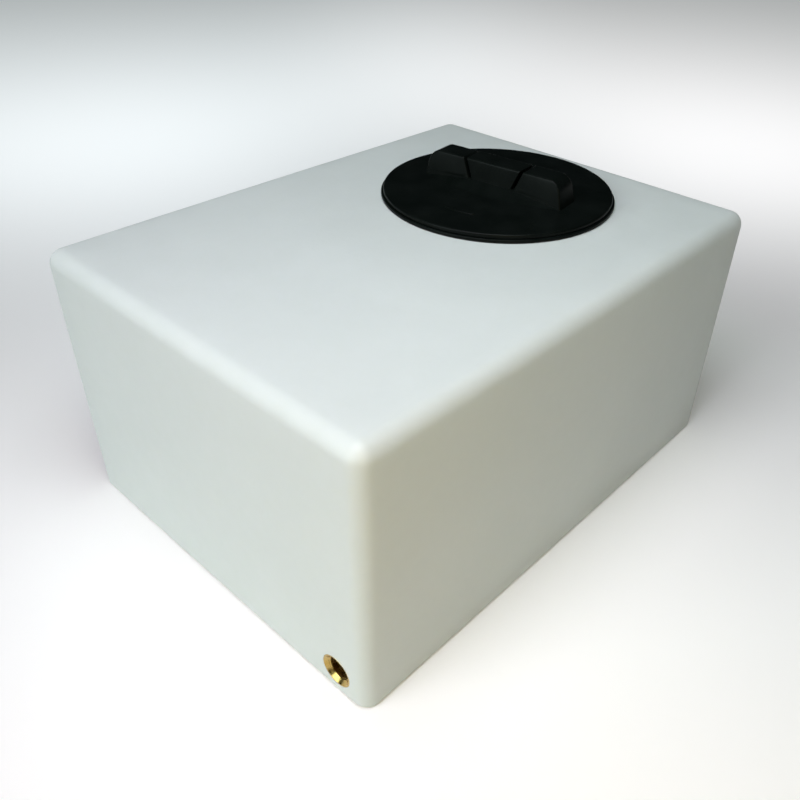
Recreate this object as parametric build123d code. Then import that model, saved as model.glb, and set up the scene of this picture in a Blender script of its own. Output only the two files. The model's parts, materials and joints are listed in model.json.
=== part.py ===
from build123d import *

import os

# A 75 litre fresh water tank: a rotomoulded polyethylene box with a screw lid and a brass outlet.
# Millimetres, +Z up. The origin is the centre of the footprint, on the floor.
# +X runs along the long side, and the outlet is in the -X face.

# Tank body
tank_length = 600.0
tank_width = 450.0
tank_height = 300.0
wall = 5.0
edge_radius = 16.0
bottom_edge_radius = 5.5

# Access opening and its ring
opening_x = 132.5
opening_y = 3.5
opening_radius = 106.0
gasket_thickness = 1.2
flange_radius = 133.0
flange_thickness = 3.0
flange_edge_radius = 1.0
ring_skirt_radius = 105.2
ring_bore_radius = 101.5
ring_skirt_bottom_z = 277.0
seal_pocket_radius = 103.5
seal_pocket_depth = 4.6

# Screws that hold the ring, M5 countersunk
screw_count = 8
screw_circle_radius = 117.0
screw_radius = 2.5
screw_hole_radius = 2.8
screw_head_radius = 4.9
screw_head_depth = 2.4
screw_length = 16.0
drive_socket_across_flats = 3.0
drive_socket_depth = 1.5
washer_radius = 5.0
washer_thickness = 1.0
nut_across_flats = 8.0
nut_thickness = 4.7

# Screw thread between ring and lid: a coarse right-hand thread with three starts
thread_starts = 3
thread_lead = 24.0
thread_turn_deg = 150.0
ridge_height = 3.0
ridge_root_width = 3.0
ridge_crest_width = 1.8
ridge_sink = 0.4
lid_ridge_start_z = 281.0
ring_ridge_above_lid_ridge = 3.4

# Lid
lid_radius = 130.5
lid_gap = 0.3
lid_thickness = 4.6
lid_edge_radius = 2.0
plug_radius = 97.7
plug_wall = 3.2
plug_bottom_z = 278.0
gusset_count = 12
gusset_reach = 15.0
gusset_drop = 12.0
gusset_thickness = 2.5
mark_radius = 86.5
mark_width = 3.0
mark_height = 0.6
mark_sweep_deg = 26.0
mark_middle_deg = 92.0

# Grip bar, one moulding with the lid
bar_angle_deg = 97.3
bar_top_z = 339.0
bar_base_length = 181.0
bar_top_length = 165.0
bar_base_width = 35.0
bar_top_width = 29.0
bar_end_radius = 12.0
bar_top_edge_radius = 2.0
bar_wall = 3.0
slot_width = 4.0
slot_top_u = 36.8
slot_bottom_u = 27.7
slot_bottom_z = 317.0
slot_rib = 3.5
mound_rise = 7.9
mound_half_width = 38.0
mound_end_half_width = 18.5

# Seal between lid and ring
seal_section_radius = 2.2
seal_circle_radius = 100.6

# Breather inside the grip bar
breather_hole_radius = 2.0
breather_hole_z = 324.0
seat_bottom_z = 309.0
seat_thickness = 2.5
seat_length = 40.0
seat_fit = 0.05
seat_hole_radius = 1.2
seat_hole_count = 6
seat_hole_circle_radius = 5.0
valve_cap_radius = 8.5
valve_cap_thickness = 1.2
valve_stem_radius = 1.6
valve_bulb_radius = 2.4
screen_radius = 8.0
screen_thickness = 0.4
screen_gap = 0.1

# Outlet insert: brass, G3/4 female thread, moulded into a boss in the wall
outlet_y = -186.0
outlet_z = 28.0
insert_radius = 17.5
insert_length = 24.0
insert_bore_radius = 12.06
insert_chamfer = 1.6
insert_groove_depth = 1.5
insert_groove_width = 3.0
insert_groove_starts = [6.0, 13.0]
boss_radius = 26.0
boss_length = 22.0

# Heights that follow from the values above
flange_bottom_z = tank_height + gasket_thickness
flange_top_z = flange_bottom_z + flange_thickness
lid_bottom_z = flange_top_z + lid_gap
lid_top_z = lid_bottom_z + lid_thickness
ceiling_z = tank_height - wall


def disc(radius, bottom_z, top_z):
    """Upright cylinder on the Z axis between two heights."""
    height = top_z - bottom_z
    return Pos(0, 0, bottom_z + height / 2) * Cylinder(radius, height)


def around(shape, count, radius):
    """Copies of a shape evenly spaced on a circle round the Z axis."""
    return Compound(children=list(PolarLocations(radius, count) * shape))


def over_opening(shape):
    """Moves a shape made round the Z axis to the access opening."""
    return Pos(opening_x, opening_y, 0) * shape


def ridge(root_radius, crest_radius, start_z, start_deg):
    """One start of the thread: a helical ridge with sloping flanks."""
    height = thread_lead * thread_turn_deg / 360.0
    path = Helix(pitch=thread_lead, height=height, radius=root_radius)
    outward = 1.0 if crest_radius > root_radius else -1.0
    sunk = -outward * ridge_sink
    crest = crest_radius - root_radius
    section = Polyline(
        (sunk, -ridge_root_width / 2),
        (crest, -ridge_crest_width / 2),
        (crest, ridge_crest_width / 2),
        (sunk, ridge_root_width / 2),
        close=True,
    )
    start = Plane(origin=path @ 0, x_dir=(1, 0, 0), z_dir=path % 0)
    swept = sweep(start * make_face(section), path=path, is_frenet=True)
    return Pos(0, 0, start_z) * Rot(0, 0, start_deg) * swept


def with_thread(body, root_radius, crest_radius, start_z, first_deg=0.0):
    """Adds every start of the thread to a turned body."""
    for number in range(thread_starts):
        start_deg = first_deg + 360.0 / thread_starts * number
        body += ridge(root_radius, crest_radius, start_z, start_deg)
    return body


def insert_outline(bore_radius):
    """Half section of the insert or, with no bore, of the space that it fills in the wall."""
    points = [(bore_radius, 0), (insert_radius, 0)]
    for groove_start in insert_groove_starts:
        groove_end = groove_start + insert_groove_width
        points.append((insert_radius, groove_start))
        points.append((insert_radius - insert_groove_depth, groove_start))
        points.append((insert_radius - insert_groove_depth, groove_end))
        points.append((insert_radius, groove_end))
    points.append((insert_radius, insert_length))
    points.append((bore_radius, insert_length))
    return make_face(Plane.XZ * Polyline(*points, close=True))


def at_outlet(shape):
    """Turns a shape made along +Z from the origin to run inwards from the outlet's mouth."""
    return Pos(-tank_length / 2, outlet_y, outlet_z) * Rot(0, 90, 0) * shape


def rounded_box(inset, top_radius, bottom_radius):
    """The tank's box, its walls moved inwards by the inset."""
    box = Pos(0, 0, tank_height / 2) * Box(
        tank_length - 2 * inset, tank_width - 2 * inset, tank_height - 2 * inset
    )
    box = fillet(box.edges().filter_by(Axis.Z), top_radius)
    box = fillet(box.edges().group_by(Axis.Z)[-1], top_radius)
    return fillet(box.edges().group_by(Axis.Z)[0], bottom_radius)


def tank_shell():
    """Hollow body with the access opening, screw holes and the outlet's boss."""
    outer = rounded_box(0, edge_radius, bottom_edge_radius)
    inner = rounded_box(wall, edge_radius - wall, bottom_edge_radius - wall)
    boss = at_outlet(Pos(0, 0, boss_length / 2) * Cylinder(boss_radius, boss_length))
    shell = outer - (inner - boss)
    shell -= at_outlet(revolve(insert_outline(0), Axis.Z))
    holes = disc(opening_radius, ceiling_z - 1, tank_height + 1)
    screw_hole = disc(screw_hole_radius, ceiling_z - 1, tank_height + 1)
    shell -= over_opening(holes)
    return shell - over_opening(around(screw_hole, screw_count, screw_circle_radius))


def outlet_insert():
    """Brass insert with retaining grooves outside and a plain bore at the thread's minor radius."""
    insert = revolve(insert_outline(insert_bore_radius), Axis.Z)
    lead_in = Cone(
        insert_bore_radius + insert_chamfer, insert_bore_radius, insert_chamfer
    )
    insert -= Pos(0, 0, insert_chamfer / 2) * lead_in
    return at_outlet(insert)


def lid_ring():
    """Flange on the tank's top, and a threaded skirt that hangs into the opening."""
    flange = disc(flange_radius, flange_bottom_z, flange_top_z)
    flange = fillet(flange.edges().group_by(Axis.Z)[-1], flange_edge_radius)
    ring = flange + disc(ring_skirt_radius, ring_skirt_bottom_z, flange_bottom_z + 1)
    ring -= disc(ring_bore_radius, ring_skirt_bottom_z - 1, flange_top_z + 1)
    ring -= disc(seal_pocket_radius, flange_top_z - seal_pocket_depth, flange_top_z + 1)
    shank = disc(screw_hole_radius, flange_bottom_z - 1, flange_top_z + 1)
    seat = Pos(0, 0, flange_top_z - screw_head_depth / 2) * Cone(
        screw_radius + 0.3, screw_head_radius + 0.3, screw_head_depth
    )
    ring -= around(shank + seat, screw_count, screw_circle_radius)
    ring = with_thread(
        ring,
        ring_bore_radius,
        ring_bore_radius - ridge_height,
        lid_ridge_start_z + ring_ridge_above_lid_ridge,
        bar_angle_deg,
    )
    return over_opening(ring)


def ring_gasket():
    """Flat rubber gasket under the flange."""
    gasket = disc(flange_radius - 1, tank_height, flange_bottom_z)
    gasket -= disc(opening_radius, tank_height - 1, flange_bottom_z + 1)
    screw_hole = disc(screw_hole_radius, tank_height - 1, flange_bottom_z + 1)
    gasket -= around(screw_hole, screw_count, screw_circle_radius)
    return over_opening(gasket)


def ring_screws():
    """Countersunk screws with a hexagon socket."""
    head = Pos(0, 0, -screw_head_depth / 2) * Cone(
        screw_radius, screw_head_radius, screw_head_depth
    )
    screw = head + Pos(0, 0, -screw_length / 2) * Cylinder(screw_radius, screw_length)
    socket = RegularPolygon(drive_socket_across_flats / 2, 6, major_radius=False)
    screw -= Pos(0, 0, -drive_socket_depth) * extrude(socket, drive_socket_depth)
    screw = Pos(0, 0, flange_top_z) * screw
    return over_opening(around(screw, screw_count, screw_circle_radius))


def ring_washers():
    """Plain washers against the tank's ceiling."""
    washer = disc(washer_radius, ceiling_z - washer_thickness, ceiling_z)
    washer -= disc(screw_hole_radius, ceiling_z - washer_thickness, ceiling_z)
    return over_opening(around(washer, screw_count, screw_circle_radius))


def ring_nuts():
    """Lock nuts under the washers."""
    top_z = ceiling_z - washer_thickness
    nut = extrude(RegularPolygon(nut_across_flats / 2, 6, major_radius=False), nut_thickness)
    nut -= Pos(0, 0, nut_thickness / 2) * Cylinder(screw_radius, nut_thickness)
    nut = Pos(0, 0, top_z - nut_thickness) * nut
    return over_opening(around(nut, screw_count, screw_circle_radius))


def bar_half_width(z, inset):
    """Half the grip bar's width at a height, its sides and top moved inwards by the inset."""
    share = (z - lid_bottom_z) / (bar_top_z - inset - lid_bottom_z)
    return bar_base_width / 2 - inset - share * (bar_base_width - bar_top_width) / 2


def bar_prism(inset, side_outline):
    """A length of the grip bar, its sides and top moved inwards by the inset."""
    top_z = bar_top_z - inset
    base_half = bar_half_width(lid_bottom_z, inset)
    top_half = bar_half_width(top_z, inset)
    section = Polyline(
        (-base_half, lid_bottom_z),
        (base_half, lid_bottom_z),
        (top_half, top_z),
        (-top_half, top_z),
        close=True,
    )
    across = make_face(Plane.YZ * section)
    across = fillet(across.vertices().group_by(Axis.Z)[-1], bar_top_edge_radius)
    along = make_face(Plane.XZ * side_outline)
    return extrude(across, bar_base_length / 2, both=True) & extrude(along, bar_base_width, both=True)


def slot_u(z, offset):
    """Distance of a slot's centre from the bar's middle at a height, plus an offset."""
    slope = (slot_top_u - slot_bottom_u) / (bar_top_z - slot_bottom_z)
    return slot_bottom_u + slope * (z - slot_bottom_z) + offset


def grip_bar():
    """The bar's outside, with its two cross slots."""
    base = bar_base_length / 2
    top = bar_top_length / 2
    outline = FilletPolyline(
        (-base, lid_bottom_z),
        (base, lid_bottom_z),
        (top, bar_top_z),
        (-top, bar_top_z),
        close=True,
        radius=[0, 0, bar_end_radius, bar_end_radius],
    )
    bar = bar_prism(0, outline)
    above_z = bar_top_z + 2
    for side in (-1, 1):
        half = slot_width / 2
        slot = Polyline(
            (side * slot_u(slot_bottom_z, -half), slot_bottom_z),
            (side * slot_u(slot_bottom_z, half), slot_bottom_z),
            (side * slot_u(above_z, half), above_z),
            (side * slot_u(above_z, -half), above_z),
            close=True,
        )
        bar -= extrude(make_face(Plane.XZ * slot), bar_base_width, both=True)
    return bar


def bar_hollows():
    """Three hollows in the bar, open underneath: one between the slots and one at each end."""
    low_z = lid_bottom_z
    top_z = bar_top_z - bar_wall
    inner = -slot_width / 2 - slot_rib
    outer = slot_width / 2 + slot_rib
    middle = Polyline(
        (-slot_u(slot_bottom_z, inner), low_z),
        (slot_u(slot_bottom_z, inner), low_z),
        (slot_u(slot_bottom_z, inner), slot_bottom_z),
        (slot_u(top_z, inner), top_z),
        (-slot_u(top_z, inner), top_z),
        (-slot_u(slot_bottom_z, inner), slot_bottom_z),
        close=True,
    )
    hollows = bar_prism(bar_wall, middle)
    for side in (-1, 1):
        end = FilletPolyline(
            (side * slot_u(slot_bottom_z, outer), low_z),
            (side * (bar_base_length / 2 - bar_wall - 1), low_z),
            (side * (bar_top_length / 2 - bar_wall - 1), top_z),
            (side * slot_u(top_z, outer), top_z),
            (side * slot_u(slot_bottom_z, outer), slot_bottom_z),
            close=True,
            radius=[0, 0, bar_end_radius - bar_wall, 0, 0],
        )
        hollows += bar_prism(bar_wall, end)
    return hollows


def mound():
    """Low flared base that runs from the middle of the bar out to its ends."""
    stations = 5
    half_length = bar_base_length / 2 - 2
    face_half_width = bar_base_width / 2 - 1
    sections = []
    for number in range(stations):
        share = 2.0 * number / (stations - 1) - 1.0
        fullness = 1.0 - abs(share) ** 1.5
        half_width = mound_end_half_width + (mound_half_width - mound_end_half_width) * fullness
        rise = 0.5 + (mound_rise - 0.5) * fullness
        outline = Polyline(
            (-half_width, lid_bottom_z + 1),
            (-half_width, lid_top_z),
            (-face_half_width, lid_top_z + rise),
            (face_half_width, lid_top_z + rise),
            (half_width, lid_top_z),
            (half_width, lid_bottom_z + 1),
            close=True,
        )
        station = Plane(origin=(share * half_length, 0, 0), x_dir=(0, 1, 0), z_dir=(1, 0, 0))
        sections.append(station * make_face(outline))
    return loft(sections)


def gussets():
    """Triangular ribs between the lid's plate and the inside of its plug."""
    outer = plug_radius - plug_wall + 0.5
    triangle = Polyline(
        (outer - gusset_reach, lid_bottom_z + 0.5),
        (outer, lid_bottom_z + 0.5),
        (outer, lid_bottom_z - gusset_drop),
        close=True,
    )
    rib = extrude(make_face(Plane.XZ * triangle), gusset_thickness / 2, both=True)
    step_deg = 360.0 / gusset_count
    return [Rot(0, 0, step_deg * (number + 0.5)) * rib for number in range(gusset_count)]


def turning_mark():
    """Raised arc on the lid's face."""
    path = CenterArc((0, 0), mark_radius, mark_middle_deg - mark_sweep_deg / 2, mark_sweep_deg)
    band = trace(path, mark_width)
    for end in (path @ 0, path @ 1):
        band += Pos(end.X, end.Y) * Circle(mark_width / 2)
    return Pos(0, 0, lid_top_z - 0.5) * extrude(band, mark_height + 0.5)


def lid():
    """Screw lid: rimmed plate, hollow grip bar, flared base and threaded plug."""
    plate = disc(lid_radius, lid_bottom_z, lid_top_z)
    plate = fillet(plate.edges().group_by(Axis.Z)[-1], lid_edge_radius)
    plug = disc(plug_radius, plug_bottom_z, lid_bottom_z + 0.5)
    plug -= disc(plug_radius - plug_wall, plug_bottom_z - 1, lid_bottom_z + 1)
    plug = with_thread(plug, plug_radius, plug_radius + ridge_height, lid_ridge_start_z)
    body = plate + plug
    for rib in gussets():
        body += rib
    for side in (0, 180):
        body += Rot(0, 0, side) * turning_mark()
    body += mound()
    body += grip_bar()
    body -= bar_hollows()
    air_way = Rot(0, 90, 0) * Cylinder(breather_hole_radius, 2 * slot_u(breather_hole_z, 0))
    body -= Pos(0, 0, breather_hole_z) * air_way
    return in_lid(body)


def in_lid(shape):
    """Turns a shape made with the bar along X to the lid's closed position."""
    return over_opening(Rot(0, 0, bar_angle_deg) * shape)


def lid_seal():
    """O-ring in the pocket between the lid's plug and the ring."""
    centre_z = flange_top_z - seal_pocket_depth + 0.3 + seal_section_radius
    return over_opening(Pos(0, 0, centre_z) * Torus(seal_circle_radius, seal_section_radius))


def breather_seat():
    """Perforated plate pressed into the middle hollow of the bar."""
    top_z = seat_bottom_z + seat_thickness
    width = 2 * (bar_half_width(top_z, bar_wall) - seat_fit)
    seat = Box(seat_length, width, seat_thickness)
    seat -= Cylinder(valve_stem_radius, seat_thickness)
    air_hole = Cylinder(seat_hole_radius, seat_thickness)
    seat -= around(air_hole, seat_hole_count, seat_hole_circle_radius)
    return in_lid(Pos(0, 0, seat_bottom_z + seat_thickness / 2) * seat)


def breather_valve():
    """Umbrella valve: a thin domed cap over the holes, held by a stem with a bulb."""
    seat_top_z = seat_bottom_z + seat_thickness
    bulb_z = seat_bottom_z - screen_gap - screen_thickness
    cap = disc(valve_cap_radius, seat_top_z, seat_top_z + valve_cap_thickness)
    cap = fillet(cap.edges().group_by(Axis.Z)[-1], valve_cap_thickness * 0.6)
    stem = disc(valve_stem_radius, bulb_z - 1, seat_top_z + 0.2)
    bulb = Pos(0, 0, bulb_z - 1) * Cone(valve_stem_radius * 0.6, valve_bulb_radius, 2.0)
    return in_lid(cap + stem + bulb)


def breather_screen():
    """Fine mesh disc under the seat, held by the valve's bulb."""
    top_z = seat_bottom_z - screen_gap
    screen = disc(screen_radius, top_z - screen_thickness, top_z)
    return in_lid(screen - disc(valve_stem_radius, top_z - screen_thickness, top_z))


nodes = {
    "tank_shell": tank_shell,
    "outlet_insert": outlet_insert,
    "lid_ring": lid_ring,
    "ring_gasket": ring_gasket,
    "ring_screws": ring_screws,
    "ring_washers": ring_washers,
    "ring_nuts": ring_nuts,
    "lid": lid,
    "lid_seal": lid_seal,
    "breather_seat": breather_seat,
    "breather_valve": breather_valve,
    "breather_screen": breather_screen,
}

os.makedirs("parts", exist_ok=True)
for name, make in nodes.items():
    shape = make()
    export_step(shape, f"parts/{name}.step")
    print(name, round(shape.volume / 1000.0, 2), "cm3")
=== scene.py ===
import json
import math

import bmesh
import bpy
from mathutils import Matrix, Vector


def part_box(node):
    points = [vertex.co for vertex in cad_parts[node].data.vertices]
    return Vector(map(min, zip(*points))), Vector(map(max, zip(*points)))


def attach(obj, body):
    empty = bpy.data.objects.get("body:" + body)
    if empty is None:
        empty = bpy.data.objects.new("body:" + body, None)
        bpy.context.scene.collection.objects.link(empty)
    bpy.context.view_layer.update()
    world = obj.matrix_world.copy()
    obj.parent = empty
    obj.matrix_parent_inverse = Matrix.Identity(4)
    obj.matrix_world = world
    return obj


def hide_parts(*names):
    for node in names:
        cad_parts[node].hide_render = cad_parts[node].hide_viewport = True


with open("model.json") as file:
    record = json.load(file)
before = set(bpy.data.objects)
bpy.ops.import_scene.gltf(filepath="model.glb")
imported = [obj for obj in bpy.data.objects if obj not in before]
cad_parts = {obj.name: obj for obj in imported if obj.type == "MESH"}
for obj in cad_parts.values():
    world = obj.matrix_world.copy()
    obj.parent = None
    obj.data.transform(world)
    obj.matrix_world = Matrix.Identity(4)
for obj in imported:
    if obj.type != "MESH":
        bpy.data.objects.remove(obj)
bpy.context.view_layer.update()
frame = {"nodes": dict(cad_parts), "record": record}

mm = 0.001

# Places and sizes that the frame gives
tank_low, tank_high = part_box("tank_shell")
ring_low, ring_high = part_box("lid_ring")
gasket_low, gasket_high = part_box("ring_gasket")
lid_low, lid_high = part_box("lid")
insert_low, insert_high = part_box("outlet_insert")
opening_x = (ring_low.x + ring_high.x) / 2
opening_y = (ring_low.y + ring_high.y) / 2
outlet_y = (insert_low.y + insert_high.y) / 2
outlet_z = (insert_low.z + insert_high.z) / 2
flange_radius = (ring_high.x - ring_low.x) / 2
lid_radius = (lid_high.x - lid_low.x) / 2

# Tank shell
wall = 5 * mm
edge_radius = 16 * mm
bottom_edge_radius = 5.5 * mm
opening_radius = 106 * mm
boss_radius = 26 * mm
boss_length = 22 * mm
side_bulge = 2.6 * mm
top_bulge = 1.4 * mm
edge_share_of_bulge = 0.4
flat_radius_at_outlet = 20 * mm
bulge_reach_from_outlet = 90 * mm
bulge_reach_from_ring = 90 * mm

# Ring, lid and their thread
flange_thickness = ring_high.z - gasket_high.z
ring_skirt_radius = 105.2 * mm
ring_bore_radius = 101.5 * mm
seal_pocket_radius = 103.5 * mm
seal_pocket_depth = 4.6 * mm
screw_circle_radius = 117 * mm
screw_count = 8
screw_hole_radius = 2.8 * mm
screw_seat_radius = 5.2 * mm
screw_head_depth = 2.4 * mm
plug_radius = 97.7 * mm
plug_wall = 3.2 * mm
lid_bottom_z = ring_high.z + 0.3 * mm
lid_thickness = 4.6 * mm
lid_top_z = lid_bottom_z + lid_thickness
lid_edge_radius = 2 * mm
gusset_count = 12
gusset_reach = 15 * mm
gusset_drop = 12 * mm
gusset_thickness = 2.5 * mm
thread_starts = 3
thread_lead = 24 * mm
thread_sweep_deg = 150
ridge_height = 3 * mm
ridge_sink = 0.4 * mm
ridge_root_width = 3 * mm
ridge_crest_width = 1.8 * mm
lid_ridge_start_z = 281 * mm
ring_ridge_above_lid_ridge = 3.4 * mm

# Grip bar
bar_angle_deg = 97.3
bar_top_z = lid_high.z
bar_base_half = 90.5 * mm
bar_top_half = 82.5 * mm
bar_base_half_width = 17.5 * mm
bar_top_half_width = 14.5 * mm
bar_end_radius = 12 * mm
bar_top_edge_radius = 2 * mm
bar_plan_radius = 2 * mm
bar_wall = 3 * mm
slot_half_width = 2 * mm
slot_top_u = 36.8 * mm
slot_bottom_u = 27.7 * mm
slot_bottom_z = 317 * mm
slot_edge_radius = 0.8 * mm
slot_rib = 3.5 * mm
air_way_radius = 2 * mm
air_way_z = 324 * mm
mound_rise = 7.9 * mm
mound_half_width = 38 * mm
mound_end_half_width = 18.5 * mm
mark_radius = 86.5 * mm
mark_half_width = 1.5 * mm
mark_height = 0.8 * mm
mark_sweep_deg = 26
mark_middle_deg = 92

# Outlet insert: a G3/4 thread
insert_radius = (insert_high.y - insert_low.y) / 2
insert_length = insert_high.x - insert_low.x
thread_minor_radius = 12.06 * mm
thread_major_radius = 13.22 * mm
thread_pitch = 1.814 * mm
insert_chamfer = 4.2 * mm
insert_rim_radius = 0.4 * mm
insert_groove_starts = (6 * mm, 13 * mm)
insert_groove_width = 3 * mm
insert_groove_depth = 1.5 * mm
insert_groove_slope = 0.3 * mm

# Fineness of the meshes
round_steps = 160
bore_steps = 120
edge_steps = 8
long_side_steps = 36
short_side_steps = 28
level_steps = 16
level_normal = 0.999999


# ---------------------------------------------------------------- mesh helpers


def add_grid(bm, rows, close_rows=False, close_columns=False):
    """Quads between rows of points, all rows the same length. Returns the vertices, row by row."""
    verts = [[bm.verts.new(point) for point in row] for row in rows]
    row_count = len(verts) if close_rows else len(verts) - 1
    width = len(verts[0])
    column_count = width if close_columns else width - 1
    for i in range(row_count):
        above = verts[(i + 1) % len(verts)]
        for j in range(column_count):
            k = (j + 1) % width
            bm.faces.new((verts[i][j], verts[i][k], above[k], above[j]))
    return verts


def add_loft(bm, rings):
    """A closed solid through closed rings of points, with a flat face at each end."""
    verts = add_grid(bm, rings, close_columns=True)
    bm.faces.new(reversed(verts[0]))
    bm.faces.new(verts[-1])


def add_lathe(bm, profile, steps=round_steps):
    """Turns a closed outline of (radius, height) round the Z axis."""
    rows = []
    for step in range(steps):
        angle = 2 * math.pi * step / steps
        rows.append([(r * math.cos(angle), r * math.sin(angle), z) for r, z in profile])
    add_grid(bm, rows, close_rows=True, close_columns=True)


def tidy(bm):
    """Merges doubled points and turns every face outwards."""
    bmesh.ops.remove_doubles(bm, verts=bm.verts, dist=0.002 * mm)
    bmesh.ops.recalc_face_normals(bm, faces=bm.faces)


def to_object(name, bm):
    """Makes a mesh object out of a bmesh."""
    tidy(bm)
    mesh = bpy.data.meshes.new(name)
    bm.to_mesh(mesh)
    bm.free()
    piece = bpy.data.objects.new(name, mesh)
    bpy.context.scene.collection.objects.link(piece)
    return piece


def combine(piece, tool, operation):
    """Adds another closed object to the piece, or cuts it away, and deletes that object."""
    modifier = piece.modifiers.new("combine", "BOOLEAN")
    modifier.object = tool
    modifier.operation = operation
    modifier.solver = "EXACT"
    graph = bpy.context.evaluated_depsgraph_get()
    mesh = bpy.data.meshes.new_from_object(piece.evaluated_get(graph))
    piece.modifiers.clear()
    piece.data = mesh
    bpy.data.objects.remove(tool)


def place(bm, matrix):
    """Moves everything in a bmesh."""
    bmesh.ops.transform(bm, matrix=matrix, verts=bm.verts)


def finish_piece(piece, name, body, material, nodes, sharp_deg=35):
    """Names the piece, smooths all but its level faces, and fastens it to the frame."""
    piece.name = name
    mesh = piece.data
    mesh.name = name
    mesh.materials.clear()
    mesh.materials.append(material)
    mesh.set_sharp_from_angle(angle=math.radians(sharp_deg))
    for polygon in mesh.polygons:
        polygon.use_smooth = abs(polygon.normal.z) < level_normal
    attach(piece, body)
    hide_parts(*nodes)
    return piece


def arc_inset(depth, radius):
    """How far a rounded edge has drawn in at a depth below its top."""
    if depth >= radius:
        return 0.0
    return radius - math.sqrt(radius * radius - (radius - depth) ** 2)


def round_outline(corners, steps=5):
    """An outline of (x, y, radius) corners with each corner rounded by a curve."""
    points = []
    count = len(corners)
    for index, (x, y, radius) in enumerate(corners):
        here = Vector((x, y))
        if radius == 0:
            points.append((x, y))
            continue
        before = Vector(corners[index - 1][:2]) - here
        after = Vector(corners[(index + 1) % count][:2]) - here
        start = here + before.normalized() * radius
        end = here + after.normalized() * radius
        for step in range(steps + 1):
            t = step / steps
            weight = 2 * t * (1 - t) * math.sqrt(0.5)
            total = (1 - t) ** 2 + weight + t * t
            point = (start * (1 - t) ** 2 + here * weight + end * t * t) / total
            points.append((point.x, point.y))
    return points


def over_opening(bm):
    """Moves a shape made round the Z axis to the access opening."""
    place(bm, Matrix.Translation((opening_x, opening_y, 0)))


def in_lid(bm):
    """Turns a shape made with the bar along X to the lid's closed position."""
    turn = Matrix.Rotation(math.radians(bar_angle_deg), 4, "Z")
    place(bm, Matrix.Translation((opening_x, opening_y, 0)) @ turn)


# ---------------------------------------------------------------- materials


class Paint:
    """A Principled material and short ways to feed its sockets."""

    def __init__(self, name, colour, roughness, metallic=0.0):
        self.material = bpy.data.materials.new(name)
        self.material.use_nodes = True
        self.tree = self.material.node_tree
        self.shader = self.tree.nodes["Principled BSDF"]
        self.shader.inputs["Base Color"].default_value = (*colour, 1)
        self.shader.inputs["Roughness"].default_value = roughness
        self.shader.inputs["Metallic"].default_value = metallic
        self.place = self.node("ShaderNodeTexCoord").outputs["Object"]
        self.bump = None

    def node(self, kind, **settings):
        made = self.tree.nodes.new(kind)
        for key, value in settings.items():
            setattr(made, key, value)
        return made

    def link(self, source, target):
        self.tree.links.new(source, target)

    def stretched(self, scale):
        """The object's coordinates stretched along its axes."""
        mapping = self.node("ShaderNodeMapping")
        mapping.inputs["Scale"].default_value = scale
        self.link(self.place, mapping.inputs["Vector"])
        return mapping.outputs["Vector"]

    def noise(self, scale, detail=3.0, where=None):
        """Cloudy pattern from 0 to 1 with so many cells to the metre."""
        made = self.node("ShaderNodeTexNoise")
        made.inputs["Scale"].default_value = scale
        made.inputs["Detail"].default_value = detail
        self.link(where or self.place, made.inputs["Vector"])
        return made.outputs["Fac"]

    def spread(self, value, low, high, from_low=0.3, from_high=0.7):
        """Maps a pattern to a range of numbers."""
        made = self.node("ShaderNodeMapRange")
        made.inputs["From Min"].default_value = from_low
        made.inputs["From Max"].default_value = from_high
        made.inputs["To Min"].default_value = low
        made.inputs["To Max"].default_value = high
        self.link(value, made.inputs["Value"])
        return made.outputs["Result"]

    def mix(self, amount, first, second):
        """Colour between two colours, each a value or a socket."""
        made = self.node("ShaderNodeMix", data_type="RGBA")
        self.link(amount, made.inputs["Factor"])
        for socket, colour in ((made.inputs[6], first), (made.inputs[7], second)):
            if isinstance(colour, tuple):
                socket.default_value = (*colour, 1)
            else:
                self.link(colour, socket)
        return made.outputs[2]

    def relief(self, height, distance, strength=1.0):
        """Adds a layer of bump, so many metres deep."""
        made = self.node("ShaderNodeBump")
        made.inputs["Distance"].default_value = distance
        made.inputs["Strength"].default_value = strength
        self.link(height, made.inputs["Height"])
        if self.bump:
            self.link(self.bump, made.inputs["Normal"])
        self.bump = made.outputs["Normal"]
        self.link(self.bump, self.shader.inputs["Normal"])

    def colour(self, socket):
        self.link(socket, self.shader.inputs["Base Color"])

    def roughness(self, socket):
        self.link(socket, self.shader.inputs["Roughness"])


def polyethylene():
    """Milky rotomoulded polyethylene with a faint orange peel."""
    paint = Paint("polyethylene", (0.60, 0.645, 0.615), 0.45)
    clouds = paint.spread(paint.noise(6, 3), 0, 1)
    mottle = paint.spread(paint.noise(75, 4), 0, 1)
    broad = paint.mix(clouds, (0.582, 0.628, 0.598), (0.618, 0.662, 0.633))
    fine = paint.mix(mottle, (0.590, 0.635, 0.602), (0.610, 0.655, 0.628))
    blend = paint.node("ShaderNodeMix", data_type="RGBA")
    blend.inputs["Factor"].default_value = 0.4
    paint.link(broad, blend.inputs[6])
    paint.link(fine, blend.inputs[7])
    paint.colour(blend.outputs[2])
    paint.roughness(paint.spread(paint.noise(24, 5), 0.38, 0.52))
    paint.relief(paint.noise(9, 2), 1.2 * mm)
    paint.relief(paint.noise(170, 2), 0.10 * mm)
    paint.relief(paint.noise(900, 3), 0.02 * mm)
    shader = paint.shader
    shader.inputs["Subsurface Weight"].default_value = 0.25
    shader.inputs["Subsurface Radius"].default_value = (1.0, 0.95, 0.85)
    shader.inputs["Subsurface Scale"].default_value = 8 * mm
    shader.inputs["Specular IOR Level"].default_value = 0.4
    return paint.material


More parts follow.
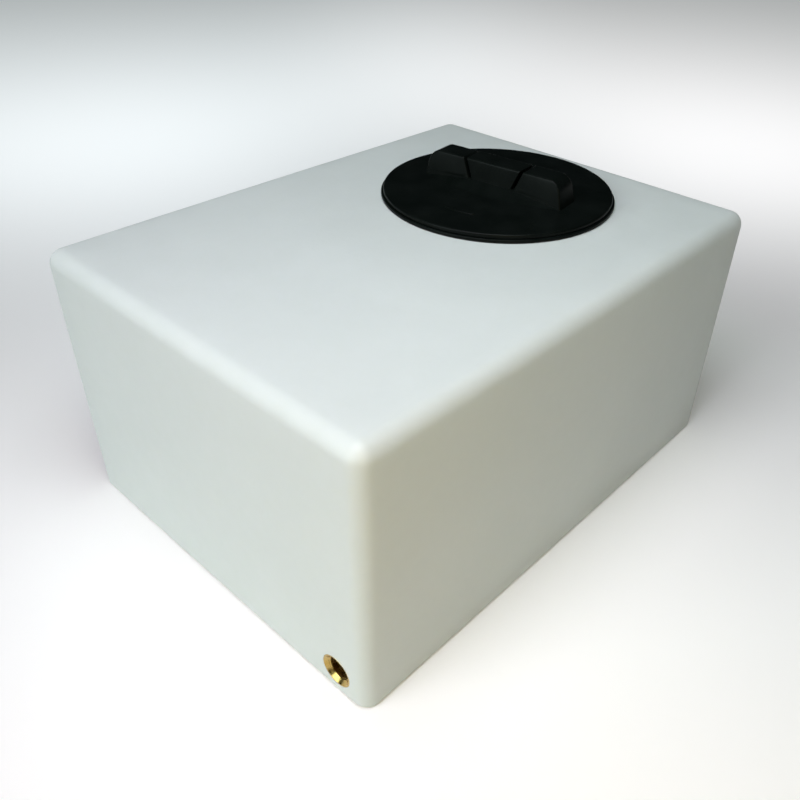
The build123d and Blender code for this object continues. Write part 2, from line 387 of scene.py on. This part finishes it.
def black_plastic():
    """Black polypropylene with a fine spark-eroded grain."""
    paint = Paint("black_plastic", (0.0030, 0.0042, 0.0036), 0.32)
    dust = paint.spread(paint.noise(35, 6), 0, 1, 0.35, 0.75)
    paint.colour(paint.mix(dust, (0.0024, 0.0036, 0.0030), (0.0046, 0.0062, 0.0054)))
    paint.roughness(paint.spread(paint.noise(48, 5), 0.26, 0.38))
    paint.relief(paint.noise(1500, 3), 0.05 * mm)
    paint.relief(paint.noise(40, 2), 0.06 * mm)
    paint.shader.inputs["Specular IOR Level"].default_value = 0.06
    return paint.material


def brass():
    """Machined brass with random patches of tarnish."""
    paint = Paint("brass", (0.50, 0.36, 0.12), 0.25, 1.0)
    tarnish = paint.spread(paint.noise(160, 5), 0, 1)
    paint.colour(paint.mix(tarnish, (0.56, 0.41, 0.15), (0.42, 0.28, 0.07)))
    paint.roughness(paint.spread(paint.noise(220, 4), 0.18, 0.32))
    paint.relief(paint.noise(600, 2, paint.stretched((8, 1, 1))), 0.02 * mm)
    return paint.material


def rubber(name, colour):
    """Moulded rubber with a soft sheen."""
    paint = Paint(name, colour, 0.7)
    darker = tuple(channel * 0.8 for channel in colour)
    lighter = tuple(channel * 1.25 for channel in colour)
    paint.colour(paint.mix(paint.spread(paint.noise(70, 5), 0, 1), darker, lighter))
    paint.roughness(paint.spread(paint.noise(90, 4), 0.6, 0.8))
    paint.relief(paint.noise(1100, 3), 0.04 * mm)
    return paint.material


def stainless():
    """Cold-headed stainless steel."""
    paint = Paint("stainless", (0.60, 0.60, 0.58), 0.3, 1.0)
    clouds = paint.spread(paint.noise(260, 4), 0, 1)
    paint.colour(paint.mix(clouds, (0.52, 0.52, 0.50), (0.66, 0.66, 0.64)))
    paint.roughness(paint.spread(paint.noise(420, 4), 0.22, 0.42))
    paint.relief(paint.noise(1800, 2), 0.01 * mm)
    return paint.material


# ---------------------------------------------------------------- tank shell


def rectangle_ring(half_x, half_y, corner_radius, z):
    """A rounded rectangle of points at one height, always with the same number of points."""
    points = []
    centres = ((1, -1), (1, 1), (-1, 1), (-1, -1))
    for quarter, (sign_x, sign_y) in enumerate(centres):
        centre_x = sign_x * (half_x - corner_radius)
        centre_y = sign_y * (half_y - corner_radius)
        for step in range(edge_steps + 1):
            angle = math.pi / 2 * (quarter - 1 + step / edge_steps)
            points.append(
                Vector((
                    centre_x + corner_radius * math.cos(angle),
                    centre_y + corner_radius * math.sin(angle),
                    z,
                ))
            )
        next_x, next_y = centres[(quarter + 1) % 4]
        start = points[-1]
        along_y = quarter % 2 == 0
        end = Vector((
            start.x if along_y else next_x * (half_x - corner_radius),
            next_y * (half_y - corner_radius) if along_y else start.y,
            z,
        ))
        steps = short_side_steps if along_y else long_side_steps
        for step in range(1, steps):
            points.append(start.lerp(end, step / steps))
    return points


def rounded_box(inset):
    """The tank's box with its walls moved inwards, as a closed bmesh of even quads."""
    bm = bmesh.new()
    half_x = (tank_high.x - tank_low.x) / 2 - inset
    half_y = (tank_high.y - tank_low.y) / 2 - inset
    low, high = tank_low.z + inset, tank_high.z - inset
    top_radius = edge_radius - inset
    bottom_radius = bottom_edge_radius - inset
    rings = []
    for step in range(edge_steps + 1):
        turn = math.pi / 2 * step / edge_steps
        drawn_in = bottom_radius * (1 - math.sin(turn))
        z = low + bottom_radius * (1 - math.cos(turn))
        rings.append((drawn_in, z))
    for step in range(1, level_steps):
        share = step / level_steps
        z = low + bottom_radius + share * (high - top_radius - low - bottom_radius)
        rings.append((0.0, z))
    for step in range(edge_steps + 1):
        turn = math.pi / 2 * step / edge_steps
        drawn_in = top_radius * (1 - math.cos(turn))
        z = high - top_radius * (1 - math.sin(turn))
        rings.append((drawn_in, z))
    flat_rings = [(top_radius, low), (0.5 * (top_radius + bottom_radius), low)]
    rings = flat_rings + rings
    rows = [
        rectangle_ring(half_x - drawn_in, half_y - drawn_in, top_radius - drawn_in, z)
        for drawn_in, z in rings
    ]
    add_grid(bm, rows, close_columns=True)
    for z in (low, high):
        columns = []
        for i in range(long_side_steps + 1):
            x = (i / long_side_steps * 2 - 1) * (half_x - top_radius)
            column = []
            for j in range(short_side_steps + 1):
                y = (j / short_side_steps * 2 - 1) * (half_y - top_radius)
                column.append((x, y, z))
            columns.append(column)
        add_grid(bm, columns)
    tidy(bm)
    return bm


def fade(distance, near, far):
    """0 up to near, 1 from far on, and smooth between."""
    share = min(max((distance - near) / (far - near), 0.0), 1.0)
    return share * share * (3 - 2 * share)


def bulge(bm):
    """Bows the walls out as a rotomoulded tank's are, but not at the ring or the outlet."""
    half_x = (tank_high.x - tank_low.x) / 2
    half_y = (tank_high.y - tank_low.y) / 2
    middle_z = (tank_high.z + tank_low.z) / 2
    half_z = (tank_high.z - tank_low.z) / 2
    for vert in bm.verts:
        x, y, z = vert.co
        a, b, c = x / half_x, y / half_y, (z - middle_z) / half_z
        rise = edge_share_of_bulge + (1 - edge_share_of_bulge) * (1 - c * c)
        if c < 0:
            rise = 1 - c * c
        away = 1.0
        if a < 0:
            from_outlet = math.hypot(y - outlet_y, z - outlet_z)
            away = fade(from_outlet, flat_radius_at_outlet, bulge_reach_from_outlet)
        vert.co.x += side_bulge * a**3 * (1 - b * b) * rise * away
        vert.co.y += side_bulge * b**3 * (1 - a * a) * rise
        if c > 0:
            from_lid = math.hypot(x - opening_x, y - opening_y)
            clear = fade(from_lid, flange_radius, flange_radius + bulge_reach_from_ring)
            vert.co.z += top_bulge * c**5 * (1 - a**2) * (1 - b**2) * clear


def circle_ring(radius, z, steps=32):
    """A circle of points round the Z axis at one height."""
    angles = [2 * math.pi * step / steps for step in range(steps)]
    return [(radius * math.cos(angle), radius * math.sin(angle), z) for angle in angles]


def screw_places():
    """Where the ring's screws stand."""
    places = []
    for number in range(screw_count):
        angle = 2 * math.pi * number / screw_count
        x = opening_x + screw_circle_radius * math.cos(angle)
        y = opening_y + screw_circle_radius * math.sin(angle)
        places.append((x, y))
    return places


def cylinder_object(name, radius, matrix, length, steps=96):
    """A closed cylinder from the origin along +Z, then moved by a matrix."""
    bm = bmesh.new()
    add_loft(bm, [circle_ring(radius, z, steps) for z in (0, length)])
    place(bm, matrix)
    return to_object(name, bm)


def at_outlet(start=0.0):
    """Places a shape made along +Z so that it runs inwards from the outlet's mouth."""
    into_tank = Matrix.Rotation(math.radians(90), 4, "Y")
    return Matrix.Translation((tank_low.x + start, outlet_y, outlet_z)) @ into_tank


def tank_shell(material):
    """The shell: outer skin, inner skin, access opening and the outlet's boss."""
    outer = rounded_box(0.0)
    bulge(outer)
    inner = rounded_box(wall)
    bulge(inner)
    shell = to_object("tank_shell_body", outer)
    hollow = to_object("hollow", inner)
    boss = cylinder_object("boss", boss_radius, at_outlet(-5 * mm), boss_length + 5 * mm)
    combine(hollow, boss, "DIFFERENCE")
    combine(shell, hollow, "DIFFERENCE")
    up = Matrix.Translation((opening_x, opening_y, tank_high.z - 3 * wall))
    opening = cylinder_object("opening", opening_radius, up, 4 * wall, round_steps)
    combine(shell, opening, "DIFFERENCE")
    seat = cylinder_object("seat", insert_radius, at_outlet(-5 * mm), insert_length + 10 * mm)
    combine(shell, seat, "DIFFERENCE")
    holes = bmesh.new()
    for x, y in screw_places():
        low, high = tank_high.z - 2 * wall, tank_high.z + wall
        rings = [circle_ring(screw_hole_radius, z) for z in (low, high)]
        add_loft(holes, [[(x + u, y + v, z) for u, v, z in ring] for ring in rings])
    combine(shell, to_object("holes", holes), "DIFFERENCE")
    return finish_piece(shell, "tank_shell_body", "root", material, ["tank_shell"])


# ---------------------------------------------------------------- outlet insert


def outlet_insert(material):
    """Brass insert with a helical pipe thread, chamfered mouths and a grooved outside."""
    bm = bmesh.new()
    per_pitch = 10
    rows_count = int(insert_length / thread_pitch * per_pitch) + 1
    depth = thread_major_radius - thread_minor_radius
    mouth_radius = thread_minor_radius + insert_chamfer
    rows = []
    for j in range(bore_steps):
        angle = 2 * math.pi * j / bore_steps
        column = []
        for i in range(-per_pitch, rows_count + 1):
            along = (i / per_pitch + j / bore_steps) * thread_pitch
            phase = (i / per_pitch) % 1.0
            tooth = min(1.0, max(0.0, 1.6 * (1 - abs(2 * phase - 1)) - 0.3))
            radius = thread_minor_radius + depth * tooth
            along = min(max(along, 0.0), insert_length)
            from_end = min(along, insert_length - along)
            radius = max(radius, mouth_radius - from_end)
            column.append((radius * math.cos(angle), radius * math.sin(angle), along))
        rows.append(column)
    columns = len(rows[0]) - per_pitch
    verts = [[bm.verts.new(point) for point in row] for row in rows]
    for j in range(bore_steps):
        shift = per_pitch if j == bore_steps - 1 else 0
        beside = verts[(j + 1) % bore_steps]
        for i in range(columns - 1 if shift else len(rows[0]) - 1):
            bm.faces.new((verts[j][i], verts[j][i + 1], beside[i + 1 + shift], beside[i + shift]))
    rim = insert_rim_radius
    groove = insert_groove_depth
    outline = [(mouth_radius, 0.0), (insert_radius - rim, 0.0), (insert_radius, rim)]
    for start in insert_groove_starts:
        outline += [
            (insert_radius, start),
            (insert_radius - groove, start + insert_groove_slope),
            (insert_radius - groove, start + insert_groove_width - insert_groove_slope),
            (insert_radius, start + insert_groove_width),
        ]
    outline += [(insert_radius, insert_length - rim), (insert_radius - rim, insert_length)]
    outline += [(mouth_radius, insert_length)]
    skin = []
    for j in range(bore_steps):
        angle = 2 * math.pi * j / bore_steps
        skin.append([(r * math.cos(angle), r * math.sin(angle), z) for r, z in outline])
    add_grid(bm, skin, close_rows=True)
    place(bm, at_outlet())
    piece = to_object("outlet_insert_body", bm)
    return finish_piece(piece, "outlet_insert_body", "root", material, ["outlet_insert"], 25)


# ---------------------------------------------------------------- ring and lid


def ridge_object(root_radius, outward, start_z, start_deg):
    """One start of the thread as a closed ridge with tapered ends."""
    bm = bmesh.new()
    steps = 60
    taper_deg = 10
    rings = []
    for step in range(steps + 1):
        turn_deg = thread_sweep_deg * step / steps
        from_end = min(turn_deg, thread_sweep_deg - turn_deg) / taper_deg
        height = ridge_height * min(1.0, 0.05 + from_end)
        z = start_z + thread_lead * turn_deg / 360
        angle = math.radians(start_deg + turn_deg)
        ring = []
        for reach, half in (
            (-ridge_sink, ridge_root_width / 2),
            (height * 0.85, ridge_crest_width / 2 + 0.25 * mm),
            (height, ridge_crest_width / 2 - 0.15 * mm),
        ):
            ring.append((reach, -half))
        ring += [(reach, -half) for reach, half in reversed(ring)]
        section = []
        for reach, rise in ring:
            radius = root_radius + outward * reach
            section.append((radius * math.cos(angle), radius * math.sin(angle), z + rise))
        rings.append(section)
    add_loft(bm, rings)
    over_opening(bm)
    return to_object("ridge", bm)


def add_thread(piece, root_radius, outward, start_z):
    """Joins every start of the thread to a turned piece."""
    for number in range(thread_starts):
        start_deg = bar_angle_deg + 360 / thread_starts * number
        combine(piece, ridge_object(root_radius, outward, start_z, start_deg), "UNION")


def lid_ring(material):
    """Flange, seal pocket and threaded skirt, with countersunk screw holes."""
    top = ring_high.z
    under = gasket_high.z
    outline = round_outline([
        (flange_radius, under, 0.3 * mm),
        (flange_radius, top, 1.0 * mm),
        (seal_pocket_radius, top, 0.5 * mm),
        (seal_pocket_radius, top - seal_pocket_depth, 0.4 * mm),
        (ring_bore_radius, top - seal_pocket_depth, 0.5 * mm),
        (ring_bore_radius, ring_low.z, 0.8 * mm),
        (ring_skirt_radius, ring_low.z, 0.8 * mm),
        (ring_skirt_radius, under, 0.5 * mm),
    ])
    bm = bmesh.new()
    add_lathe(bm, outline)
    over_opening(bm)
    ring = to_object("lid_ring_body", bm)
    add_thread(ring, ring_bore_radius, -1, lid_ridge_start_z + ring_ridge_above_lid_ridge)
    seat_outline = (
        (screw_hole_radius, under - mm),
        (screw_hole_radius, top - screw_head_depth),
        (screw_seat_radius, top),
        (screw_seat_radius, top + mm),
    )
    holes = bmesh.new()
    for x, y in screw_places():
        rings = [circle_ring(radius, z) for radius, z in seat_outline]
        add_loft(holes, [[(x + u, y + v, z) for u, v, z in ring] for ring in rings])
    combine(ring, to_object("holes", holes), "DIFFERENCE")
    return finish_piece(ring, "lid_ring_body", "root", material, ["lid_ring"])


def lid_plate():
    """The lid's round plate with its rim."""
    bm = bmesh.new()
    rim = [
        (0.0, lid_bottom_z),
        (lid_radius - 0.6 * mm, lid_bottom_z),
        (lid_radius, lid_bottom_z + 0.6 * mm),
    ]
    for step in range(7):
        turn = math.pi / 2 * step / 6
        rim.append((
            lid_radius - lid_edge_radius * (1 - math.cos(turn)),
            lid_top_z - lid_edge_radius * (1 - math.sin(turn)),
        ))
    rim.append((0.0, lid_top_z))
    rows = []
    for step in range(round_steps):
        angle = 2 * math.pi * step / round_steps
        rows.append([(r * math.cos(angle), r * math.sin(angle), z) for r, z in rim])
    add_grid(bm, rows, close_rows=True)
    return bm


def plug_wall_ring():
    """The plug's wall, from the plate down into the ring."""
    bm = bmesh.new()
    outline = round_outline([
        (plug_radius, lid_low.z, 0.8 * mm),
        (plug_radius, lid_bottom_z + 1 * mm, 0),
        (plug_radius - plug_wall, lid_bottom_z + 1 * mm, 0),
        (plug_radius - plug_wall, lid_low.z, 0.8 * mm),
    ])
    add_lathe(bm, outline)
    return bm


def slot_u(z):
    """Distance of a slot's centre from the bar's middle at a height."""
    share = (z - slot_bottom_z) / (bar_top_z - slot_bottom_z)
    return slot_bottom_u + (slot_top_u - slot_bottom_u) * share


def bar_share(z):
    """0 at the bar's foot and 1 at its top."""
    return (z - lid_bottom_z) / (bar_top_z - lid_bottom_z)


def block_ring(u_low, u_high, half_width, low_radius, high_radius, z, steps=5):
    """A rounded rectangle along the bar, with one corner radius at each end."""
    corners = (
        (u_high, -half_width, high_radius, -90),
        (u_high, half_width, high_radius, 0),
        (u_low, half_width, low_radius, 90),
        (u_low, -half_width, low_radius, 180),
    )
    ring = []
    for u, v, radius, first_deg in corners:
        centre_u = u - math.copysign(radius, u - (u_low + u_high) / 2)
        centre_v = v - math.copysign(radius, v)
        for step in range(steps + 1):
            angle = math.radians(first_deg + 90 * step / steps)
            ring.append((centre_u + radius * math.cos(angle), centre_v + radius * math.sin(angle), z))
    return ring


def bar_block(side):
    """One of the bar's three blocks: -1 and 1 are its ends, 0 its middle."""
    depths = [32, 24, 18, 12, 10.4, 8.6, 7, 5.6, 4.4, 3.4, 2.6, 2, 1.4, 0.9, 0.5, 0.2, 0.05, 0]
    rings = []
    for depth in (d * mm for d in depths):
        z = bar_top_z - depth
        half_width = bar_base_half_width + bar_share(z) * (bar_top_half_width - bar_base_half_width)
        half_width -= arc_inset(depth, bar_top_edge_radius)
        inner = slot_u(z)
        tight = max(slot_edge_radius - arc_inset(depth, slot_edge_radius), 0.1 * mm)
        drawn = arc_inset(depth, slot_edge_radius)
        if side == 0:
            reach = inner - slot_half_width - drawn
            rings.append(block_ring(-reach, reach, half_width, tight, tight, z))
            continue
        start = inner + slot_half_width + drawn
        end = bar_base_half + bar_share(z) * (bar_top_half - bar_base_half)
        end -= arc_inset(depth, bar_end_radius)
        plan = max(bar_plan_radius - arc_inset(depth, bar_top_edge_radius), 1 * mm)
        if side > 0:
            rings.append(block_ring(start, end, half_width, tight, plan, z))
        else:
            rings.append(block_ring(-end, -start, half_width, plan, tight, z))
    bm = bmesh.new()
    add_loft(bm, rings)
    return bm


def bar_spine():
    """The floor of the slots, between the blocks."""
    bm = bmesh.new()
    half_length = slot_top_u + 4 * mm
    half_width = bar_base_half_width - 1 * mm
    rings = []
    for z in (lid_bottom_z + 1.5 * mm, slot_bottom_z):
        rings.append(block_ring(-half_length, half_length, half_width, 1 * mm, 1 * mm, z))
    add_loft(bm, rings)
    return bm


def mound():
    """The flared foot of the bar, highest and widest at its middle."""
    bm = bmesh.new()
    stations = 48
    across = 12
    half_length = bar_base_half - 2 * mm
    inner = bar_base_half_width - 1.5 * mm
    rings = []
    for station in range(stations + 1):
        share = 2 * station / stations - 1
        fullness = 1 - abs(share) ** 1.7
        half_width = mound_end_half_width + (mound_half_width - mound_end_half_width) * fullness
        rise = 0.3 * mm + mound_rise * fullness
        side = []
        for step in range(across + 1):
            t = step / across
            v = half_width + (inner - half_width) * t
            side.append((v, lid_top_z - 0.3 * mm + (rise + 0.3 * mm) * t**1.35))
        ring = [(v, z) for v, z in side] + [(-v, z) for v, z in reversed(side)]
        ring += [(-half_width, lid_bottom_z + 1.2 * mm), (half_width, lid_bottom_z + 1.2 * mm)]
        rings.append([(share * half_length, v, z) for v, z in ring])
    add_loft(bm, rings)
    return bm


def gusset(number):
    """A triangular rib between the plate's underside and the plug."""
    bm = bmesh.new()
    outer = plug_radius - plug_wall + 0.6 * mm
    half = gusset_thickness / 2
    triangle = (
        (outer - gusset_reach, lid_bottom_z + 0.8 * mm),
        (outer, lid_bottom_z + 0.8 * mm),
        (outer, lid_bottom_z - gusset_drop),
        (outer - 2 * mm, lid_bottom_z - gusset_drop),
    )
    add_loft(bm, [[(x, y, z) for x, z in triangle] for y in (-half, half)])
    place(bm, Matrix.Rotation(2 * math.pi * (number + 0.5) / gusset_count, 4, "Z"))
    return bm


def turning_mark(middle_deg):
    """A raised arc on the lid's face with round ends and a soft top."""
    bm = bmesh.new()
    steps = 40
    rings = []
    for step in range(steps + 1):
        turn = (step / steps - 0.5) * mark_sweep_deg
        from_end = min(step, steps - step) / 3
        width = mark_half_width * min(1.0, math.sqrt(0.06 + from_end))
        angle = math.radians(middle_deg + turn)
        ring = []
        for reach, height in (
            (-1.0, -0.6), (-1.0, 0.3), (-0.75, 0.85), (-0.4, 1.0),
            (0.4, 1.0), (0.75, 0.85), (1.0, 0.3), (1.0, -0.6),
        ):
            radius = mark_radius + reach * width
            z = lid_top_z + height * mark_height
            ring.append((radius * math.cos(angle), radius * math.sin(angle), z))
        rings.append(ring)
    add_loft(bm, rings)
    return bm


def bar_hollow(side):
    """One of the three hollows under the bar."""
    inner_top = bar_top_z - bar_wall
    rings = []
    for step in range(9):
        z = lid_bottom_z - 1 * mm + (inner_top - lid_bottom_z + 1 * mm) * step / 8
        depth = inner_top - z
        share = (z - lid_bottom_z) / (inner_top - lid_bottom_z)
        half_width = bar_base_half_width - bar_wall
        half_width -= share * (bar_base_half_width - bar_top_half_width)
        inner = slot_u(max(z, slot_bottom_z))
        if side == 0:
            reach = inner - slot_half_width - slot_rib
            rings.append(block_ring(-reach, reach, half_width, 1 * mm, 1 * mm, z))
            continue
        start = inner + slot_half_width + slot_rib
        end = bar_base_half - bar_wall - 1 * mm + share * (bar_top_half - bar_base_half)
        end -= arc_inset(max(depth, 0.0), bar_end_radius - bar_wall)
        if side > 0:
            rings.append(block_ring(start, end, half_width, 1 * mm, 3 * mm, z))
        else:
            rings.append(block_ring(-end, -start, half_width, 3 * mm, 1 * mm, z))
    bm = bmesh.new()
    add_loft(bm, rings)
    return bm


def air_way():
    """A hole along the bar, between its slots, that lets air into the middle hollow."""
    reach = slot_u(air_way_z)
    across = Matrix.Translation((-reach, 0, air_way_z)) @ Matrix.Rotation(math.pi / 2, 4, "Y")
    bm = bmesh.new()
    add_loft(bm, [circle_ring(air_way_radius, z) for z in (0, 2 * reach)])
    place(bm, across)
    in_lid(bm)
    return to_object("air_way", bm)


def lid(material):
    """The screw lid: plate, plug, thread, ribs, grip bar and its flared foot."""
    parts = [plug_wall_ring(), mound(), bar_spine()]
    parts += [bar_block(side) for side in (-1, 0, 1)]
    parts += [gusset(number) for number in range(gusset_count)]
    parts += [turning_mark(mark_middle_deg), turning_mark(mark_middle_deg + 180)]
    plate = lid_plate()
    in_lid(plate)
    piece = to_object("lid_body", plate)
    for bm in parts:
        in_lid(bm)
        combine(piece, to_object("part", bm), "UNION")
    add_thread(piece, plug_radius, 1, lid_ridge_start_z)
    for side in (-1, 0, 1):
        hollow = bar_hollow(side)
        in_lid(hollow)
        combine(piece, to_object("hollow", hollow), "DIFFERENCE")
    combine(piece, air_way(), "DIFFERENCE")
    return finish_piece(piece, "lid_body", "lid", material, ["lid"])


# ---------------------------------------------------------------- stage


def stage():
    """Plain pale floor, glowing faintly so that it stays light behind the tank."""
    bm = bmesh.new()
    size = 12.0
    corners = [(-size, -size, 0), (size, -size, 0), (size, size, 0), (-size, size, 0)]
    bm.faces.new([bm.verts.new(corner) for corner in corners])
    floor = to_object("floor", bm)
    paint = Paint("floor", (0.92, 0.92, 0.90), 0.8)
    paint.shader.inputs["Emission Color"].default_value = (1, 1, 1, 1)
    paint.shader.inputs["Emission Strength"].default_value = 0.09
    floor.data.materials.append(paint.material)


def backdrop():
    """A pale dome far off that closes the room to the camera and lights nothing."""
    bm = bmesh.new()
    bmesh.ops.create_uvsphere(bm, u_segments=48, v_segments=24, radius=11.0)
    dome = to_object("backdrop", bm)
    dome.visible_diffuse = False
    dome.visible_glossy = False
    dome.visible_transmission = False
    dome.visible_shadow = False
    paint = Paint("backdrop", (0.0, 0.0, 0.0), 1.0)
    paint.shader.inputs["Specular IOR Level"].default_value = 0.0
    paint.shader.inputs["Emission Color"].default_value = (0.97, 0.98, 1.0, 1)
    paint.shader.inputs["Emission Strength"].default_value = 0.5
    dome.data.materials.append(paint.material)


def add_light(data, place_at, aim, power, colour):
    """Puts a light in the scene, turned to face a point."""
    data.energy = power
    data.color = colour
    light = bpy.data.objects.new(data.name, data)
    light.location = place_at
    light.rotation_mode = "QUATERNION"
    light.rotation_quaternion = (Vector(aim) - Vector(place_at)).to_track_quat("-Z", "Y")
    light.visible_camera = False
    bpy.context.scene.collection.objects.link(light)


def softbox(name, place_at, aim, size, power, colour):
    """A soft square light aimed at a point."""
    data = bpy.data.lights.new(name, "AREA")
    data.size = size
    add_light(data, place_at, aim, power, colour)


def window_light(name, comes_from, spread_deg, power, colour):
    """Even soft light that comes from one side of the room."""
    data = bpy.data.lights.new(name, "SUN")
    data.angle = math.radians(spread_deg)
    add_light(data, comes_from, (0, 0, 0), power, colour)


def floor_spot(name, aim, power, colour):
    """A wide soft-edged spot from above the camera onto the floor behind the tank."""
    data = bpy.data.lights.new(name, "SPOT")
    data.spot_size = math.radians(58)
    data.spot_blend = 1
    data.shadow_soft_size = 0.3
    add_light(data, (-0.6, -0.6, 2.0), aim, power, colour)


def lights():
    """Cool window light on the short side, soft light overhead and a weak warm fill."""
    window_light("window", (-1, 0.25, 0.35), 40, 1.52, (0.855, 1.0, 0.985))
    softbox("overhead", (-0.35, -0.3, 1.3), (-0.1, -0.1, 0.3), 0.8, 12, (0.90, 0.99, 1.0))
    softbox("near corner", (-0.8, -0.2, 1.2), (-0.3, -0.2, 0.3), 0.6, 3.3, (0.97, 0.61, 1.0))
    softbox("warm fill", (-0.62, -0.75, 0.5), (-0.3, -0.2, 0.2), 0.5, 1.15, (1.0, 0.68, 0.03))
    floor_spot("far floor left", (1.1, 2.9, 0), 480, (0.90, 0.95, 1.0))
    floor_spot("far floor right", (3.1, 0.9, 0), 520, (1.0, 0.97, 1.0))
    world = bpy.data.worlds.new("room")
    world.use_nodes = True
    background = world.node_tree.nodes["Background"]
    background.inputs["Color"].default_value = (0.8, 0.9, 1.0, 1)
    background.inputs["Strength"].default_value = 0.01
    bpy.context.scene.world = world


def camera():
    """The camera, from its place, heading, tilt and roll."""
    heading = math.radians(48.439)
    tilt = math.radians(-35.988)
    roll = math.radians(1.877)
    forward = Vector((
        math.cos(tilt) * math.sin(heading),
        math.cos(tilt) * math.cos(heading),
        math.sin(tilt),
    ))
    level_right = Vector((forward.y, -forward.x, 0)).normalized()
    level_up = level_right.cross(forward)
    right = level_right * math.cos(roll) + level_up * math.sin(roll)
    up = level_up * math.cos(roll) - level_right * math.sin(roll)
    turn = Matrix((right, up, -forward)).transposed()
    data = bpy.data.cameras.new("camera")
    data.sensor_width = 36
    data.lens = 36.415
    data.shift_x = -0.0387
    data.shift_y = -0.0010
    data.dof.use_dof = False
    made = bpy.data.objects.new("camera", data)
    made.matrix_world = Matrix.Translation((-0.5799, -0.5371, 0.6537)) @ turn.to_4x4()
    bpy.context.scene.collection.objects.link(made)
    bpy.context.scene.camera = made


# ---------------------------------------------------------------- everything

paints = {
    "polyethylene": polyethylene(),
    "black_plastic": black_plastic(),
    "brass": brass(),
    "black_rubber": rubber("black_rubber", (0.018, 0.018, 0.018)),
    "silicone": rubber("silicone", (0.55, 0.55, 0.53)),
    "stainless": stainless(),
}
for subpart in frame["record"]["subparts"]:
    node = frame["nodes"][subpart["node"]]
    node.data.materials.clear()
    node.data.materials.append(paints[subpart["material_slot"]])

tank_shell(paints["polyethylene"])
outlet_insert(paints["brass"])
lid_ring(paints["black_plastic"])
lid(paints["black_plastic"])
camera()
stage()
backdrop()
lights()
bpy.context.scene.view_settings.view_transform = "Standard"
